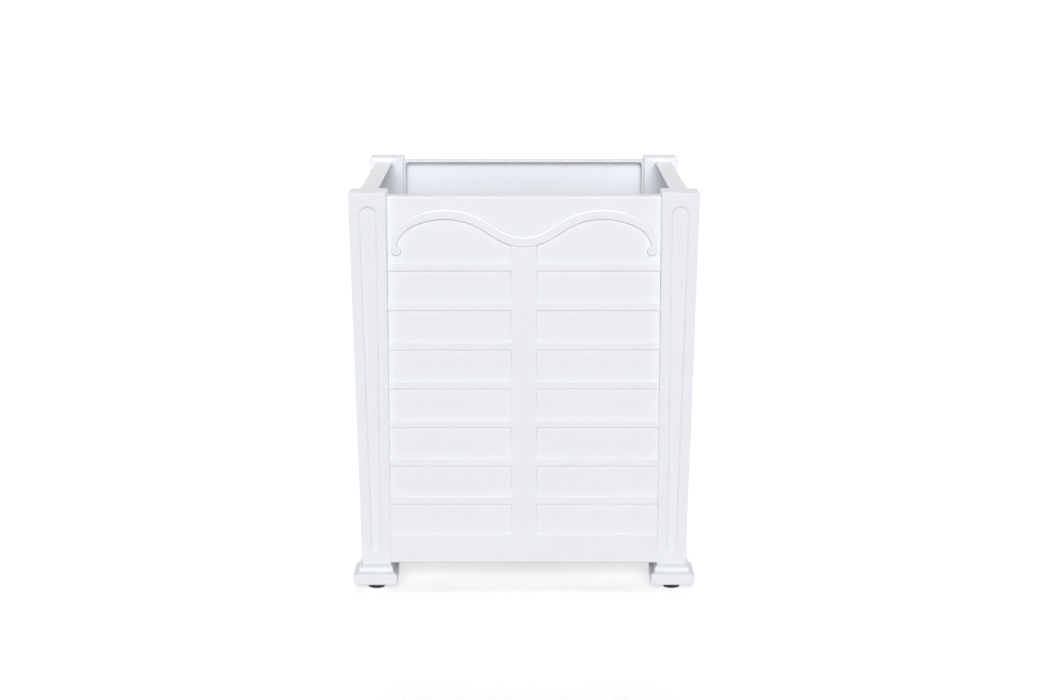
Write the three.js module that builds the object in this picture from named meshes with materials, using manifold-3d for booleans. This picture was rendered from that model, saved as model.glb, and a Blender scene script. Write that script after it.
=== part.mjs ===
// Square planter in the Versailles style: four tapered posts on stepped plinths, four moulded
// relief panels between them, a drained base shelf and four screw-in levelling feet.
// Millimetres, +Z up, front towards -Y. The origin is on the floor under the planter's centre.

import * as THREE from 'three';
import { mergeVertices } from 'three/addons/utils/BufferGeometryUtils.js';
import Module from 'manifold-3d';

const wasm = await Module();
wasm.setup();

// ---------------------------------------------------------------- driving dimensions

const seatGap = 0.3;             // clearance between pieces that rest on or in each other

// posts
const postSpread = 610;          // outside to outside across the post tops
const postTopHeight = 722;       // floor to post top
const postTopWidth = 66;         // square section at the top
const postTaper = 14;            // how far each outer face leans in between top and plinth
const postWall = 5;
const postEdgeRadius = 2.5;
const postCavityRadius = 1;
const fluteInnerMargin = 17.5;   // from the post's inner face to the flute
const fluteOuterMargin = 17;     // from the post's outer edge to the flute
const fluteTopDrop = 24;         // post top to the flute's upper end
const fluteBottomRise = 24;      // post foot to the flute's lower end
const fluteDepth = 3;
const fluteWallRun = 2.5;        // the flute's walls slope over this width
const bossDiameter = 14;         // screw bosses inside the post
const bossLength = 14;

// plinths
const plinthBlockHeight = 18;
const plinthLowerBevel = 5;
const plinthFillet = 6;
const plinthUpperBevel = 4.5;
const plinthOuterSteps = [6, 15];  // how far the fillet and the block stand out of the post outside
const plinthInnerSteps = [4, 11];  // the same towards the panels
const plinthFootEdge = 1.2;        // eased lower edge
const spigotHeight = 32;           // plugs into the hollow post
const spigotClearance = 0.4;
const spigotEdgeRadius = 1.5;

// levelling feet
const padDiameter = 30;
const padHeight = 8;
const padEdgeRadius = 2;
const padSocketDepth = 5;
const stemDiameter = 9.4;
const stemLength = 72;
const stemTipChamfer = 1.2;
const stemBoreClearance = 1.3;   // in the plinth and spigot, above the insert
const collarHeight = 5.4;
const collarAcrossFlats = 17;
const threadClearance = 0.3;
const insertDiameter = 16;
const insertLength = 22;
const insertFlangeDiameter = 24;
const insertFlangeHeight = 2;

// panels
const panelInset = 12;           // panel face behind the post face at the top
const panelTopDrop = 8;          // post top to panel top
const panelBottomRise = 4;       // plinth top to panel bottom
const reliefDepth = 4;           // slats, stile and rail above the field
const skin = 4;                  // field skin
const flangeWall = 3.5;
const flangeDepth = 32;          // top and bottom flanges, front to back
const sideFlangeDepth = 40;
const flareRun = 14;             // the flange's back edge sweeps out to the side flange over this run
const pocketRadius = 8;
const panelEdgeRadius = 2.5;
const slatCount = 7;
const slatHeight = 18.5;
const reliefDraft = 2.8;         // width of the sloped edges of slats, stile and rail
const reliefUnderDraft = 1.5;    // width of the steeper edge on the underside of the slats
const reliefRoot = 8.4;          // how far the rail and stile run on under their neighbours
const firstSlatDrop = 113.9;     // panel top to the top of the first slat
const bottomRailHeight = 55.8;
const stileWidth = 49;

// serpentine scroll moulding, measured from the panel's centre line and top edge
const scrollRise = 3;            // above the panel face
const scrollWidth = 21;
const scrollNeckWidth = 12;
const scrollEdge = 3;            // rounded edge
const scrollDipDrop = 79.4;
const scrollCrestDrop = 30.8;
const scrollCrestOffset = 138.8;
const scrollNeckDrop = 84;       // from here the neck runs straight down into the volute
const voluteRadius = 9.8;
const voluteDrop = 95;
const voluteEndGap = 14.4;       // volute's middle to the panel's end
const neckShift = 1.9;           // the neck's middle outside the volute's
const headFootDrop = 101;        // panel top to the head's foot, outside the volutes

// how far the scroll's curve keeps its direction at each knot, as a share of the span to the next
const scrollHold = { dip: 0.382, crest: 0.525, neck: 0.543 };

// panel screws
const screwDiameter = 6;
const screwLength = 24;
const screwHeadDiameter = 12;
const screwHeadHeight = 4;
const screwCrown = { flat: 3.6, drop: 0.4 };  // the head's flat top, and how far its dome falls to it
const screwTopDrop = 115;
const screwBottomRise = 100;

// base shelf
const shelfThickness = 6;
const shelfBearing = 16;         // how far it reaches over the panels' bottom flanges
const shelfSideClearance = 1;    // to the rounded corners of the panel trays
const shelfRibCount = 4;         // from side to side
const shelfRibHeight = 15;
const shelfRibWidth = 4;
const shelfRibEndGap = 11;       // rib ends to the panels' bottom flanges
const shelfOuterRibGap = 51;     // outermost ribs to the front and rear panels' bottom flanges
const drainDiameter = 22;

// ---------------------------------------------------------------- derived levels and planes

const plinthBottom = padHeight + seatGap + collarHeight + seatGap;
const plinthBlockTop = plinthBottom + plinthBlockHeight;
const plinthBevelTop = plinthBlockTop + plinthLowerBevel;
const plinthFilletTop = plinthBevelTop + plinthFillet;
const plinthTop = plinthFilletTop + plinthUpperBevel;
const postBottom = plinthTop + seatGap;

const postInner = postSpread / 2 - postTopWidth;
const postOuterTop = postSpread / 2;
const postOuterBottom = postOuterTop - postTaper;
const footCentre = (postInner - plinthInnerSteps[1] + postOuterBottom + plinthOuterSteps[1]) / 2;

const panelFace = postOuterTop - panelInset;
const panelField = panelFace - reliefDepth;
const panelBack = panelField - skin;
const flangeBack = panelFace - flangeDepth;
const sideFlangeBack = panelFace - sideFlangeDepth;
const panelHalf = postInner - seatGap;
const panelTop = postTopHeight - panelTopDrop;
const panelBottom = plinthTop + panelBottomRise;
const bottomFlangeTop = panelBottom + flangeWall;
const screwPlane = panelFace - flangeDepth / 2;
const screwHeights = [panelBottom + screwBottomRise, panelTop - screwTopDrop];
const screwHole = screwDiameter + 2 * seatGap;

const railTop = panelBottom + bottomRailHeight;
const firstSlatTop = panelTop - firstSlatDrop;
const slatPitch = (firstSlatTop - railTop) / slatCount;
const fieldBottom = railTop - reliefRoot;
const voluteOffset = panelHalf - voluteEndGap;
const voluteMiddle = panelTop - voluteDrop;

const shelfRibHalf = flangeBack - shelfRibEndGap;
const shelfRibPitch = 2 * (flangeBack - shelfOuterRibGap) / (shelfRibCount - 1);

const cutMargin = 2;             // how far cutters run past the faces they open
const embed = 0.5;               // how far joined relief is rooted in the skin
const sharpest = 0.2;            // least corner radius of a level ring

// facets round a full circle
const footSides = 18;
const padSides = 24;
const bossSides = 10;
const holeSides = 8;
const drainSides = 14;
const voluteSides = 16;

// ---------------------------------------------------------------- solids and geometry

// Closed three.js geometry to a solid that can be cut and joined.
function solid(geometry) {
  const bare = geometry.clone();
  bare.deleteAttribute('normal');
  bare.deleteAttribute('uv');
  const merged = mergeVertices(bare, 1e-4);
  return new wasm.Manifold(new wasm.Mesh({
    numProp: 3,
    vertProperties: new Float32Array(merged.attributes.position.array),
    triVerts: new Uint32Array(merged.index.array),
  }));
}

// Cut or joined solid back to three.js geometry.
function geometryOf(body) {
  const mesh = body.getMesh();
  const geometry = new THREE.BufferGeometry();
  geometry.setAttribute('position', new THREE.BufferAttribute(mesh.vertProperties, 3));
  geometry.setIndex(new THREE.BufferAttribute(mesh.triVerts, 1));
  return geometry;
}

function join(bodies) {
  return bodies.reduce((whole, body) => whole.add(body));
}

function box(x0, x1, y0, y1, z0, z1) {
  const geometry = new THREE.BoxGeometry(x1 - x0, y1 - y0, z1 - z0);
  geometry.translate((x0 + x1) / 2, (y0 + y1) / 2, (z0 + z1) / 2);
  return solid(geometry);
}

// Rod from `start` along the row axis named by `axis`.
function rod(diameter, length, axis, start, sides = bossSides) {
  const geometry = new THREE.CylinderGeometry(diameter / 2, diameter / 2, length, sides);
  geometry.translate(0, length / 2, 0);
  if (axis === 'x') geometry.rotateZ(-Math.PI / 2);
  if (axis === 'z') geometry.rotateX(Math.PI / 2);
  geometry.translate(start.x, start.y, start.z);
  return solid(geometry);
}

// Skin over rings that hold the same number of points, with flat caps on the first and last ring.
// `flat` maps a ring's point to the plane its cap is triangulated in.
function loft(rings, flat) {
  const count = rings[0].length;
  const index = [];
  for (let i = 0; i + 1 < rings.length; i++) {
    for (let j = 0; j < count; j++) {
      const next = (j + 1) % count;
      const [a, b] = [i * count + j, i * count + next];
      const [c, d] = [(i + 1) * count + next, (i + 1) * count + j];
      index.push(a, b, c, a, c, d);
    }
  }
  const last = (rings.length - 1) * count;
  const lastCap = THREE.ShapeUtils.triangulateShape(rings[rings.length - 1].map(flat), []);
  const firstCap = THREE.ShapeUtils.triangulateShape(rings[0].map(flat), []);
  const clockwise = THREE.ShapeUtils.isClockWise(rings[0].map(flat));
  for (const [a, b, c] of lastCap) {
    index.push(last + a, last + (clockwise ? c : b), last + (clockwise ? b : c));
  }
  for (const [a, b, c] of firstCap) index.push(a, clockwise ? b : c, clockwise ? c : b);

  const points = rings.flat();
  const geometry = new THREE.BufferGeometry().setFromPoints(points);
  geometry.setIndex(facingOut(points, index));
  return solid(geometry);
}

// Triangles turned so that they enclose a positive volume.
function facingOut(points, index) {
  let volume = 0;
  const normal = new THREE.Vector3();
  for (let i = 0; i < index.length; i += 3) {
    const [a, b, c] = [points[index[i]], points[index[i + 1]], points[index[i + 2]]];
    volume += normal.crossVectors(a, b).dot(c);
  }
  return volume > 0 ? index : index.reverse();
}

const seenFromTop = (p) => new THREE.Vector2(p.x, p.y);
const seenFromFront = (p) => new THREE.Vector2(p.x, p.z);
const seenFromSide = (p) => new THREE.Vector2(p.y, p.z);

// Level rectangle from (x0, y0) to (x1, y1) with rounded corners.
function roundedRing(x0, x1, y0, y1, radius, z, steps = 2) {
  const corners = [[x1 - radius, y1 - radius], [x0 + radius, y1 - radius],
    [x0 + radius, y0 + radius], [x1 - radius, y0 + radius]];
  const ring = [];
  corners.forEach(([cx, cy], corner) => {
    for (let i = 0; i <= steps; i++) {
      const angle = (corner + i / steps) * Math.PI / 2;
      ring.push(new THREE.Vector3(cx + radius * Math.cos(angle), cy + radius * Math.sin(angle), z));
    }
  });
  return ring;
}

// Shape in the front view (x across, z up), grown forward from the plane y = from to y = to.
function extrudeForward(shape, from, to, curveSegments = 8) {
  const geometry = new THREE.ExtrudeGeometry(shape, {
    depth: from - to, bevelEnabled: false, curveSegments,
  });
  geometry.applyMatrix4(new THREE.Matrix4().makeBasis(
    new THREE.Vector3(1, 0, 0), new THREE.Vector3(0, 0, 1), new THREE.Vector3(0, -1, 0)));
  geometry.translate(0, from, 0);
  return solid(geometry);
}

// Shape in the side view (y across, z up), grown sideways from -half to +half.
function extrudeAcross(shape, half) {
  const geometry = new THREE.ExtrudeGeometry(shape, {
    depth: 2 * half, bevelEnabled: false, curveSegments: 3,
  });
  geometry.applyMatrix4(new THREE.Matrix4().makeBasis(
    new THREE.Vector3(0, 1, 0), new THREE.Vector3(0, 0, 1), new THREE.Vector3(1, 0, 0)));
  geometry.translate(-half, 0, 0);
  return solid(geometry);
}

// Profile of [radius, height] points, turned about the Z axis.
function turned(profile, sides) {
  const geometry = new THREE.LatheGeometry(profile.map(([r, z]) => new THREE.Vector2(r, z)), sides);
  geometry.rotateX(Math.PI / 2);
  return solid(geometry);
}

// ---------------------------------------------------------------- post, in the rear right corner

function postOuter(z) {
  return postOuterTop - postTaper * (postTopHeight - z) / (postTopHeight - postBottom);
}

function postRing(z, inset, radius) {
  const outer = postOuter(z) - inset;
  return roundedRing(postInner + inset, outer, postInner + inset, outer, radius, z);
}

// Outline of the flute at height z and across the face, shrunk by `inset` and set `proud` of the
// tapered face. Its two edges keep their margins to the post's edges, so it tapers with the post.
function fluteRing(inset, proud) {
  const arcSteps = 8;
  const lower = postBottom + fluteBottomRise;
  const upper = postTopHeight - fluteTopDrop;
  const reach = (z) => (postOuter(z) - fluteOuterMargin - postInner - fluteInnerMargin) / 2;
  const middle = (z) => postInner + fluteInnerMargin + reach(z);
  const ends = [{ tip: upper, side: 1 }, { tip: lower, side: -1 }];
  const ring = [];
  for (const { tip, side } of ends) {
    const radius = reach(tip);
    const level = tip - side * radius;
    for (let i = 0; i <= arcSteps; i++) {
      const angle = Math.PI * i / arcSteps + (side > 0 ? 0 : Math.PI);
      const across = middle(level) + (radius - inset) * Math.cos(angle);
      const z = level + (radius - inset) * Math.sin(angle);
      ring.push(new THREE.Vector3(postOuter(z) + proud, across, z));
    }
  }
  return ring;
}

function swapFaces(ring) {
  return ring.map((p) => new THREE.Vector3(p.y, p.x, p.z));
}

function fluteCutters() {
  const slope = fluteWallRun / fluteDepth;
  const rings = [fluteRing(fluteWallRun, -fluteDepth), fluteRing(-slope * cutMargin, cutMargin)];
  return [loft(rings, seenFromSide), loft(rings.map(swapFaces), seenFromFront)];
}

function postSolid() {
  const r = postEdgeRadius;
  const rimSteps = 2;
  const outside = [postRing(postBottom, 0, r)];
  for (let i = 0; i <= rimSteps; i++) {
    const angle = i / rimSteps * Math.PI / 2;
    const inset = r * (1 - Math.cos(angle));
    outside.push(postRing(postTopHeight - r + r * Math.sin(angle), inset, Math.max(r - inset, sharpest)));
  }
  const inside = [postBottom - cutMargin, postTopHeight - postWall]
    .map((z) => postRing(z, postWall, postCavityRadius));
  let post = loft(outside, seenFromTop).subtract(loft(inside, seenFromTop));

  for (const z of screwHeights) {
    const root = postInner + postWall - embed;
    post = post.add(rod(bossDiameter, bossLength + embed, 'x', { x: root, y: screwPlane, z }));
    post = post.add(rod(bossDiameter, bossLength + embed, 'y', { x: screwPlane, y: root, z }));
    const run = postWall + bossLength + 2 * cutMargin;
    const mouth = postInner - cutMargin;
    post = post.subtract(rod(screwHole, run, 'x', { x: mouth, y: screwPlane, z }, holeSides));
    post = post.subtract(rod(screwHole, run, 'y', { x: screwPlane, y: mouth, z }, holeSides));
  }
  for (const cutter of fluteCutters()) post = post.subtract(cutter);
  return post;
}

// ---------------------------------------------------------------- plinth, in the same corner

function plinthRing(z, innerStep, outerStep, radius = postEdgeRadius) {
  return roundedRing(postInner - innerStep, postOuterBottom + outerStep,
    postInner - innerStep, postOuterBottom + outerStep, radius, z);
}

function plinthSolid() {
  const [filletOut, blockOut] = plinthOuterSteps;
  const [filletIn, blockIn] = plinthInnerSteps;
  const moulding = loft([
    plinthRing(plinthBottom, blockIn - plinthFootEdge, blockOut - plinthFootEdge),
    plinthRing(plinthBottom + plinthFootEdge, blockIn, blockOut),
    plinthRing(plinthBlockTop, blockIn, blockOut),
    plinthRing(plinthBevelTop, filletIn, filletOut),
    plinthRing(plinthFilletTop, filletIn, filletOut),
    plinthRing(plinthTop, 0, 0),
  ], seenFromTop);
  const inset = postWall + spigotClearance;
  const spigot = loft([
    plinthRing(plinthTop - embed, -inset, -inset, spigotEdgeRadius),
    plinthRing(plinthTop + spigotHeight, -inset, -inset, spigotEdgeRadius),
  ], seenFromTop);
  // the bore from below, as [diameter, depth], for the stem, the insert and its flange
  const bores = [
    [stemDiameter + 2 * stemBoreClearance, plinthTop + spigotHeight - plinthBottom + cutMargin],
    [insertDiameter + 2 * seatGap, insertLength + seatGap],
    [insertFlangeDiameter + 2 * seatGap, insertFlangeHeight + seatGap],
  ];
  const mouth = { x: footCentre, y: footCentre, z: plinthBottom - cutMargin };
  return bores.reduce((body, [diameter, depth]) =>
    body.subtract(rod(diameter, cutMargin + depth, 'z', mouth, footSides)), moulding.add(spigot));
}

// ---------------------------------------------------------------- levelling foot, about its own axis

function insertSolid() {
  const bore = stemDiameter / 2 + threadClearance;
  return turned([
    [bore, plinthBottom],
    [insertFlangeDiameter / 2, plinthBottom],
    [insertFlangeDiameter / 2, plinthBottom + insertFlangeHeight],
    [insertDiameter / 2, plinthBottom + insertFlangeHeight],
    [insertDiameter / 2, plinthBottom + insertLength],
    [bore, plinthBottom + insertLength],
    [bore, plinthBottom],
  ], footSides);
}

function padSolid() {
  const r = padEdgeRadius;
  const socket = stemDiameter / 2 + seatGap;
  return turned([
    [0, 0],
    [padDiameter / 2 - r, 0],
    [padDiameter / 2, r],
    [padDiameter / 2, padHeight - r],
    [padDiameter / 2 - r, padHeight],
    [socket, padHeight],
    [socket, padHeight - padSocketDepth],
    [0, padHeight - padSocketDepth],
  ], padSides);
}

function stemSolid() {
  const foot = padHeight - padSocketDepth + seatGap;
  const tip = foot + stemLength;
  const r = stemDiameter / 2;
  const shank = turned([[0, foot], [r, foot], [r, tip - stemTipChamfer], [r - stemTipChamfer, tip],
    [0, tip]], footSides);
  const collar = new THREE.CylinderGeometry(1, 1, collarHeight, 6);
  const acrossCorners = collarAcrossFlats / Math.cos(Math.PI / 6);
  collar.scale(acrossCorners / 2, 1, acrossCorners / 2);
  collar.rotateX(Math.PI / 2);
  collar.translate(0, 0, padHeight + seatGap + collarHeight / 2);
  return shank.add(solid(collar));
}

// ---------------------------------------------------------------- relief panel, facing -Y

// Centre line of the scroll moulding from the middle dip over the crest to the neck of the volute.
function scrollSpine() {
  const at = (x, drop) => new THREE.Vector2(x, panelTop - drop);
  const neck = voluteOffset + neckShift;
  const outerSpan = neck - scrollCrestOffset;
  const fall = scrollNeckDrop - scrollCrestDrop;
  const spine = new THREE.CurvePath();
  spine.add(new THREE.CubicBezierCurve(
    at(0, scrollDipDrop),
    at(scrollHold.dip * scrollCrestOffset, scrollDipDrop),
    at((1 - scrollHold.crest) * scrollCrestOffset, scrollCrestDrop),
    at(scrollCrestOffset, scrollCrestDrop)));
  spine.add(new THREE.CubicBezierCurve(
    at(scrollCrestOffset, scrollCrestDrop),
    at(scrollCrestOffset + scrollHold.crest * outerSpan, scrollCrestDrop),
    at(neck, scrollNeckDrop - scrollHold.neck * fall),
    at(neck, scrollNeckDrop)));
  return spine;
}

// Points along the right half of the spine, down to the volute's middle, with their upward normals
// and the moulding's half width.
function scrollStations() {
  const [inner, outer] = scrollSpine().curves;
  const stations = [];
  const add = (curve, t, half) => {
    const tangent = curve.getTangent(t);
    stations.push({ at: curve.getPoint(t), normal: new THREE.Vector2(-tangent.y, tangent.x), half });
  };
  const innerSteps = 9;
  const outerSteps = 8;
  for (let i = 0; i <= innerSteps; i++) add(inner, i / innerSteps, scrollWidth / 2);
  for (let i = 1; i <= outerSteps; i++) {
    const t = i / outerSteps;
    add(outer, t, (scrollWidth + (scrollNeckWidth - scrollWidth) * t * t) / 2);
  }
  const neck = stations[stations.length - 1];
  stations.push({ ...neck, at: new THREE.Vector2(neck.at.x, voluteMiddle) });
  return stations;
}

function mirrored(points) {
  return points.map((p) => new THREE.Vector2(-p.x, p.y)).reverse();
}

function scrollRing(inset, y) {
  const side = (way) => scrollStations().map(({ at, normal, half }) =>
    at.clone().addScaledVector(normal, way * (half - inset)));
  const upper = side(1);
  const lower = side(-1);
  const outline = [...mirrored(upper), ...upper.slice(1), ...[...lower].reverse(),
    ...mirrored(lower).reverse().slice(1)];
  return outline.map((p) => new THREE.Vector3(p.x, y, p.y));
}

function voluteRing(sign, inset, y) {
  const ring = [];
  for (let i = 0; i < voluteSides; i++) {
    const angle = 2 * Math.PI * i / voluteSides;
    ring.push(new THREE.Vector3(sign * voluteOffset + (voluteRadius - inset) * Math.cos(angle), y,
      voluteMiddle + (voluteRadius - inset) * Math.sin(angle)));
  }
  return ring;
}

// Insets and planes of a moulding that rises from the field to the scroll's top with an eased edge.
function scrollLevels() {
  return [
    { inset: 0, y: -(panelField - embed) },
    { inset: 0, y: -panelFace },
    { inset: scrollEdge, y: -(panelFace + scrollRise) },
  ];
}

function scrollSolid() {
  const levels = scrollLevels();
  const band = loft(levels.map(({ inset, y }) => scrollRing(inset, y)), seenFromFront);
  const volutes = [-1, 1].map((sign) =>
    loft(levels.map(({ inset, y }) => voluteRing(sign, inset, y)), seenFromFront));
  return join([band, ...volutes]);
}

// Raised bar from (x0, z0) to (x1, z1). `draft` says how far its sides, its top and its underside
// slope in towards the face.
function reliefBar(x0, x1, z0, z1, draft) {
  const ring = (y, side, top, under) => [[x0 + side, z0 + under], [x1 - side, z0 + under],
    [x1 - side, z1 - top], [x0 + side, z1 - top]].map(([x, z]) => new THREE.Vector3(x, y, z));
  return loft([
    ring(-(panelField - embed), 0, 0, 0),
    ring(-panelFace, draft.side, draft.top, draft.under),
  ], seenFromFront);
}

// Everything in front of the field between the bottom rail and the scroll.
function fieldCutter() {
  const half = panelHalf + cutMargin;
  const headFoot = panelTop - headFootDrop;
  const rightHalf = [
    ...scrollStations().map(({ at }) => at), new THREE.Vector2(voluteOffset, headFoot),
    new THREE.Vector2(half, headFoot), new THREE.Vector2(half, fieldBottom),
  ];
  const shape = new THREE.Shape([...mirrored(rightHalf), ...rightHalf.slice(1)]);
  return extrudeForward(shape, -panelField, -(panelFace + cutMargin));
}

// Box of the panel with rounded front edges, and a back edge that sweeps out to the side flanges.
function panelBlank() {
  const r = panelEdgeRadius;
  const side = new THREE.Shape();
  side.moveTo(-sideFlangeBack, panelBottom);
  side.lineTo(-sideFlangeBack, panelTop);
  side.lineTo(-panelFace + r, panelTop);
  side.absarc(-panelFace + r, panelTop - r, r, Math.PI / 2, Math.PI, false);
  side.lineTo(-panelFace, panelBottom + r);
  side.absarc(-panelFace + r, panelBottom + r, r, Math.PI, 1.5 * Math.PI, false);

  const plan = new THREE.Shape();
  const flare = panelHalf - flangeWall;
  plan.moveTo(-panelHalf, -panelFace);
  plan.lineTo(panelHalf, -panelFace);
  plan.lineTo(panelHalf, -sideFlangeBack);
  plan.lineTo(flare, -sideFlangeBack);
  plan.quadraticCurveTo(flare, -flangeBack, flare - flareRun, -flangeBack);
  plan.lineTo(-(flare - flareRun), -flangeBack);
  plan.quadraticCurveTo(-flare, -flangeBack, -flare, -sideFlangeBack);
  plan.lineTo(-panelHalf, -sideFlangeBack);
  const column = new THREE.ExtrudeGeometry(plan, {
    depth: panelTop - panelBottom, bevelEnabled: false, curveSegments: 4,
  });
  column.translate(0, 0, panelBottom);
  return extrudeAcross(side, panelHalf + cutMargin).intersect(solid(column));
}

function roundedWindow(half, z0, z1, r) {
  const shape = new THREE.Shape();
  shape.moveTo(half, z0 + r);
  shape.lineTo(half, z1 - r);
  shape.absarc(half - r, z1 - r, r, 0, Math.PI / 2, false);
  shape.lineTo(-half + r, z1);
  shape.absarc(-half + r, z1 - r, r, Math.PI / 2, Math.PI, false);
  shape.lineTo(-half, z0 + r);
  shape.absarc(-half + r, z0 + r, r, Math.PI, 1.5 * Math.PI, false);
  shape.lineTo(half - r, z0);
  shape.absarc(half - r, z0 + r, r, 1.5 * Math.PI, 2 * Math.PI, false);
  return shape;
}

function panelSolid() {
  const [low, high] = [bottomFlangeTop, panelTop - flangeWall];
  const window = roundedWindow(panelHalf - flangeWall, low, high, pocketRadius);
  const pocket = extrudeForward(window, -(sideFlangeBack - cutMargin), -panelBack, 4);
  let panel = panelBlank().subtract(pocket).subtract(fieldCutter());

  const across = { side: 0, top: reliefDraft, under: reliefUnderDraft };
  const upright = { side: reliefDraft, top: 0, under: 0 };
  const relief = [reliefBar(-panelHalf, panelHalf, fieldBottom - reliefRoot, railTop, across)];
  for (let i = 0; i < slatCount; i++) {
    const top = firstSlatTop - i * slatPitch;
    relief.push(reliefBar(-panelHalf, panelHalf, top - slatHeight, top, across));
  }
  relief.push(reliefBar(-stileWidth / 2, stileWidth / 2, railTop - reliefRoot,
    panelTop - scrollDipDrop, upright));
  panel = join([panel, ...relief, scrollSolid()]);

  for (const z of screwHeights) {
    for (const sign of [-1, 1]) {
      const run = flangeWall + 2 * cutMargin;
      const inner = panelHalf - flangeWall - cutMargin;
      const holeStart = sign > 0 ? inner : -inner - run;
      panel = panel.subtract(rod(screwHole, run, 'x', { x: holeStart, y: -screwPlane, z }, holeSides));
    }
  }
  return panel;
}

// Pan-head screw along +X, its head's seat at x = 0.
function screwSolid() {
  const head = screwHeadDiameter / 2;
  const shank = screwDiameter / 2;
  const geometry = new THREE.LatheGeometry([
    [0, -screwHeadHeight], [screwCrown.flat, -screwHeadHeight + screwCrown.drop], [head, 0],
    [shank, 0], [shank, screwLength - shank], [0, screwLength],
  ].map(([x, y]) => new THREE.Vector2(x, y)), bossSides);
  geometry.rotateZ(-Math.PI / 2);
  return solid(geometry);
}

// ---------------------------------------------------------------- base shelf

function shelfSolid() {
  const reach = flangeBack + shelfBearing;
  const half = panelHalf - flangeWall - pocketRadius - shelfSideClearance;
  const bottom = bottomFlangeTop + seatGap;
  const top = bottom + shelfThickness;
  let shelf = join([
    box(-reach, reach, -half, half, bottom, top),
    box(-half, half, -reach, reach, bottom, top),
  ]);
  const ribFoot = bottom - shelfRibHeight;
  for (let i = 0; i < shelfRibCount; i++) {
    const middle = (i - (shelfRibCount - 1) / 2) * shelfRibPitch;
    shelf = shelf.add(box(-shelfRibHalf, shelfRibHalf, middle - shelfRibWidth / 2,
      middle + shelfRibWidth / 2, ribFoot, bottom + embed));
  }
  // one drain in the middle and one towards each corner, all between the ribs
  const drains = [[0, 0], [1, 1], [-1, 1], [-1, -1], [1, -1]];
  for (const [x, y] of drains.map(([across, along]) => [across * shelfRibPitch, along * shelfRibPitch])) {
    shelf = shelf.subtract(rod(drainDiameter, shelfThickness + 2 * cutMargin, 'z',
      { x, y, z: bottom - cutMargin }, drainSides));
  }
  return shelf;
}

// ---------------------------------------------------------------- materials and assembly

function finish(color, roughness, metalness) {
  return () => new THREE.MeshStandardMaterial({ color, roughness, metalness });
}

const whiteMoulding = finish(0xeceef3, 0.3, 0);
const greyMoulding = finish(0xc9cbd0, 0.5, 0);
const blackPad = finish(0x141414, 0.5, 0);
const zincSteel = finish(0xb9bcc0, 0.35, 1);
const brass = finish(0xc7a35a, 0.35, 1);

function piece(name, body, material) {
  const mesh = new THREE.Mesh(geometryOf(body), material());
  mesh.name = name;
  return mesh;
}

const solids = {
  post: postSolid(), plinth: plinthSolid(), insert: insertSolid(), stem: stemSolid(), pad: padSolid(),
  panel: panelSolid(), screw: screwSolid(), shelf: shelfSolid(),
};

function cornerGroup(place, quarterTurns) {
  const corner = new THREE.Group();
  corner.rotation.z = quarterTurns * Math.PI / 2;
  corner.add(piece(`post_${place}`, solids.post, whiteMoulding));
  corner.add(piece(`plinth_${place}`, solids.plinth, whiteMoulding));
  const foot = new THREE.Group();
  foot.position.set(footCentre, footCentre, 0);
  foot.add(piece(`foot_insert_${place}`, solids.insert, brass));
  foot.add(piece(`foot_stem_${place}`, solids.stem, zincSteel));
  foot.add(piece(`foot_pad_${place}`, solids.pad, blackPad));
  corner.add(foot);
  return corner;
}

function sideGroup(place, quarterTurns) {
  const side = new THREE.Group();
  side.rotation.z = quarterTurns * Math.PI / 2;
  side.add(piece(`panel_${place}`, solids.panel, whiteMoulding));
  const seat = panelHalf - flangeWall - seatGap;
  for (const [end, sign] of [['left', -1], ['right', 1]]) {
    for (const [level, z] of [['lower', screwHeights[0]], ['upper', screwHeights[1]]]) {
      const screw = piece(`screw_${place}_${end}_${level}`, solids.screw, zincSteel);
      screw.position.set(sign * seat, -screwPlane, z);
      screw.rotation.z = sign > 0 ? 0 : Math.PI;
      side.add(screw);
    }
  }
  return side;
}

const planter = new THREE.Group();
const corners = ['rear_right', 'rear_left', 'front_left', 'front_right'];
corners.forEach((place, turns) => planter.add(cornerGroup(place, turns)));
const sides = ['front', 'right', 'rear', 'left'];
sides.forEach((place, turns) => planter.add(sideGroup(place, turns)));
planter.add(piece('base_shelf', solids.shelf, greyMoulding));

export default planter;
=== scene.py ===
"""Studio scene of a square white planter in the Versailles style.

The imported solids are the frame. Detailed mouldings with eased edges stand for them, in millimetres on
the same axes: +Z up, front towards -Y. The finishes are procedural, and the floor and lamps are plain.
"""
from math import acos, asin, cos, pi, radians, sin, sqrt

import bmesh
import bpy
from mathutils import Matrix, Vector
from mathutils.geometry import delaunay_2d_cdt


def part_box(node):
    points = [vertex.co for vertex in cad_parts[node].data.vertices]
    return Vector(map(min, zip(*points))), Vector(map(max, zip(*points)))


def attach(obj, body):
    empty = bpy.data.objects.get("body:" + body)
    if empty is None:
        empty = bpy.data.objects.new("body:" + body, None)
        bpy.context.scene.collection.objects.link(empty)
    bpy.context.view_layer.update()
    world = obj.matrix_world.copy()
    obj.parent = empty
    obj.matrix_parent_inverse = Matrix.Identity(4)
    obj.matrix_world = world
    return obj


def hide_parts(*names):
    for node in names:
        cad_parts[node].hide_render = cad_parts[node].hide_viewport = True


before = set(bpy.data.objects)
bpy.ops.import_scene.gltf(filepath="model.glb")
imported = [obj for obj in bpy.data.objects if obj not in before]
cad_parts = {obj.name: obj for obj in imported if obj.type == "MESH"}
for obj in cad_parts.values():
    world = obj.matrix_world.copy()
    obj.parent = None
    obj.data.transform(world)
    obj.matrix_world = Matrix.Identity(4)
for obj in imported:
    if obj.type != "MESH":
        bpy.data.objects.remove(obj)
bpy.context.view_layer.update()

MM = 0.001
LEAD = 3.0                       # how far a profile runs on before its first corner and after its last
CLOSE = 1e-4                     # tolerance between points that should be one
TIE_SHIFT = 0.137                # keeps round sizes off the ties when a point is rounded


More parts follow.
